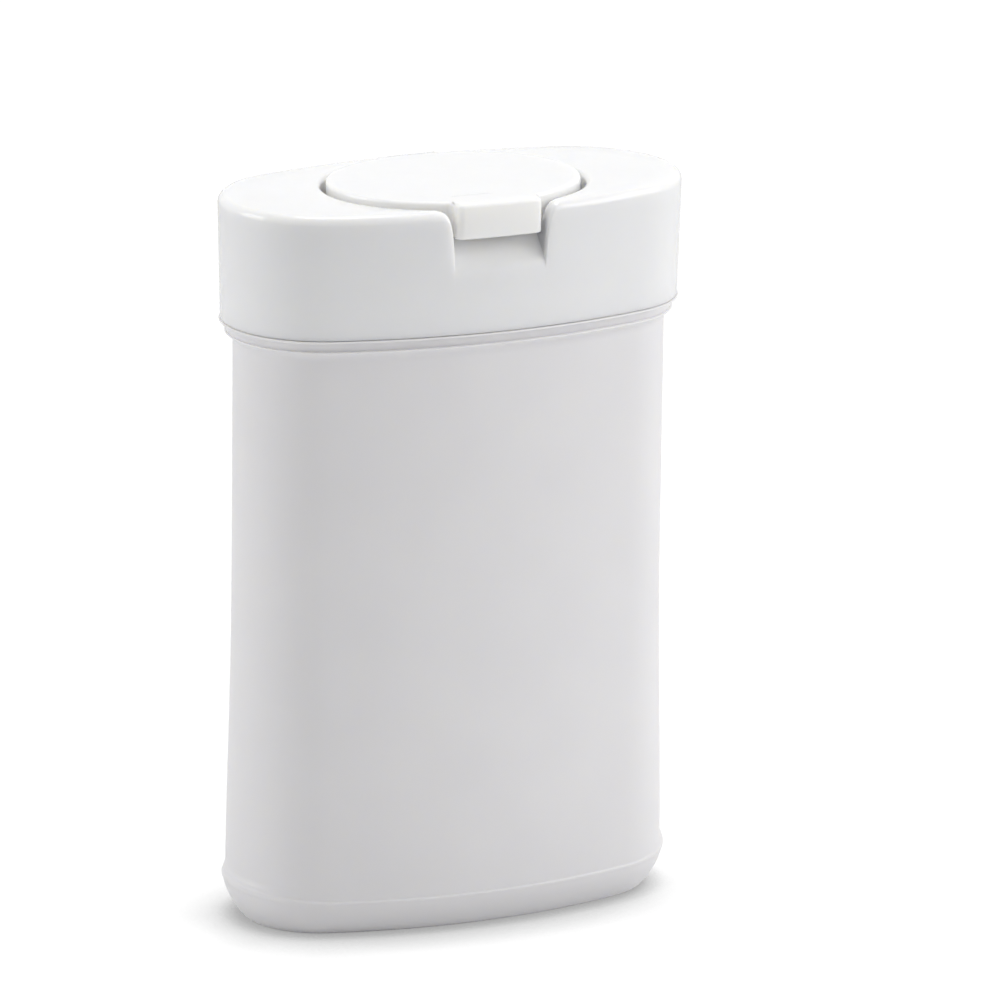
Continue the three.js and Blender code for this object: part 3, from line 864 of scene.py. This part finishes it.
hinge_y = 19.1 * MM
hinge_z = 122.0 * MM
hinge_half = 5.2 * MM
knuckle_radius = 1.3 * MM
knuckle_edge = 0.2 * MM
pin_radius = 0.8 * MM
pin_length = 1.6 * MM
pin_edge = 0.15 * MM
bar_sides = 40
bar_edge_angle = math.radians(50)
tongue_front = 16.1 * MM
tongue_low = hinge_z - 0.8 * MM
tongue_top = cap_top - 0.4 * MM
tongue_round = 1.3 * MM
tongue_round_steps = 8
tongue_edge = 0.2 * MM
tongue_edge_angle = math.radians(30)


def soften(piece, width, angle):
    """Rounds the edges of a piece that turn by more than an angle, and smooths its shading."""
    bevel = piece.modifiers.new("soft_edges", "BEVEL")
    bevel.width = width
    bevel.segments = 3
    bevel.limit_method = "ANGLE"
    bevel.angle_limit = angle
    bpy.ops.object.modifier_apply(modifier=bevel.name)
    bpy.ops.object.shade_smooth_by_angle(angle=smooth_angle)


def join_in(piece, added):
    """Joins a piece of the same moulding into its main piece."""
    bpy.ops.object.select_all(action="DESELECT")
    added.select_set(True)
    piece.select_set(True)
    bpy.context.view_layer.objects.active = piece
    bpy.ops.object.join()


bpy.ops.object.select_all(action="DESELECT")
bpy.ops.mesh.primitive_cube_add(
    size=1, location=(0, (tongue_front + hinge_y) / 2, (tongue_low + tongue_top) / 2),
    scale=(2 * hinge_half, hinge_y - tongue_front, tongue_top - tongue_low),
)
tongue = bpy.context.object
bpy.ops.object.transform_apply(location=True, rotation=True, scale=True)
bpy.ops.object.mode_set(mode="EDIT")
work = bmesh.from_edit_mesh(tongue.data)
for edge in work.edges:
    middle = (edge.verts[0].co + edge.verts[1].co) / 2
    edge.select_set(abs(middle.y - hinge_y) < merge_reach and abs(middle.z - tongue_top) < merge_reach)
bmesh.update_edit_mesh(tongue.data)
bpy.ops.mesh.bevel(offset=tongue_round, segments=tongue_round_steps, affect="EDGES")
bpy.ops.object.mode_set(mode="OBJECT")
soften(tongue, tongue_edge, tongue_edge_angle)
join_in(cap, tongue)

for radius, half_length, edge_width in (
    (knuckle_radius, hinge_half, knuckle_edge),
    (pin_radius, hinge_half + pin_length, pin_edge),
):
    bpy.ops.object.select_all(action="DESELECT")
    bpy.ops.mesh.primitive_cylinder_add(vertices=bar_sides, radius=radius, depth=2 * half_length,
                                        location=(0, hinge_y, hinge_z), rotation=(0, math.pi / 2, 0))
    bar = bpy.context.object
    bpy.ops.object.transform_apply(location=True, rotation=True, scale=True)
    soften(bar, edge_width, bar_edge_angle)
    join_in(cap, bar)

# The cap is the lid's plastic, with the faint witness line that the mould's insert left on its top.
witness_middle = (-2.5 * MM, -13.65 * MM, cap_top)
witness_half_length = 4 * MM
witness_half_width = 0.2 * MM
witness_half_height = 1 * MM
witness_depth = 0.2 * MM
cap_finish = lid_finish.copy()
cap_finish.name = "injection_moulded_polypropylene_cap"
cap_surface = next(node for node in cap_finish.node_tree.nodes if node.type == "BSDF_PRINCIPLED")
cap_bump = cap_surface.inputs["Normal"].links[0].from_socket
witness_place = add_node(cap_finish, "ShaderNodeTexCoord")
witness_away = add_node(cap_finish, "ShaderNodeVectorMath", {
    "operation": "SUBTRACT", 0: witness_place.outputs["Object"], 1: witness_middle,
})
witness_scaled = add_node(cap_finish, "ShaderNodeVectorMath", {
    "operation": "MULTIPLY", 0: witness_away.outputs[0],
    1: (1 / witness_half_length, 1 / witness_half_width, 1 / witness_half_height),
})
witness_size = add_node(cap_finish, "ShaderNodeVectorMath",
                        {"operation": "ABSOLUTE", 0: witness_scaled.outputs[0]})
witness_parts = add_node(cap_finish, "ShaderNodeSeparateXYZ", Vector=witness_size.outputs[0])
witness_most = add_node(cap_finish, "ShaderNodeMath", {
    "operation": "MAXIMUM", 0: witness_parts.outputs["X"], 1: witness_parts.outputs["Y"],
})
witness_edge = add_node(cap_finish, "ShaderNodeMath", {
    "operation": "MAXIMUM", 0: witness_most.outputs[0], 1: witness_parts.outputs["Z"],
})
witness_groove = add_node(cap_finish, "ShaderNodeMapRange",
                          {"interpolation_type": "SMOOTHSTEP", "From Min": 0.5, "From Max": 1.0},
                          Value=witness_edge.outputs[0])
witness_bump = add_node(cap_finish, "ShaderNodeBump", {"Strength": 1.0, "Distance": witness_depth},
                        Height=witness_groove.outputs["Result"], Normal=cap_bump)
cap_finish.node_tree.links.new(witness_bump.outputs["Normal"], cap_surface.inputs["Normal"])
cap.data.materials.append(cap_finish)
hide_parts("flip_cap")
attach(cap, "flip_cap")

bpy.context.scene.view_settings.view_transform = "Standard"
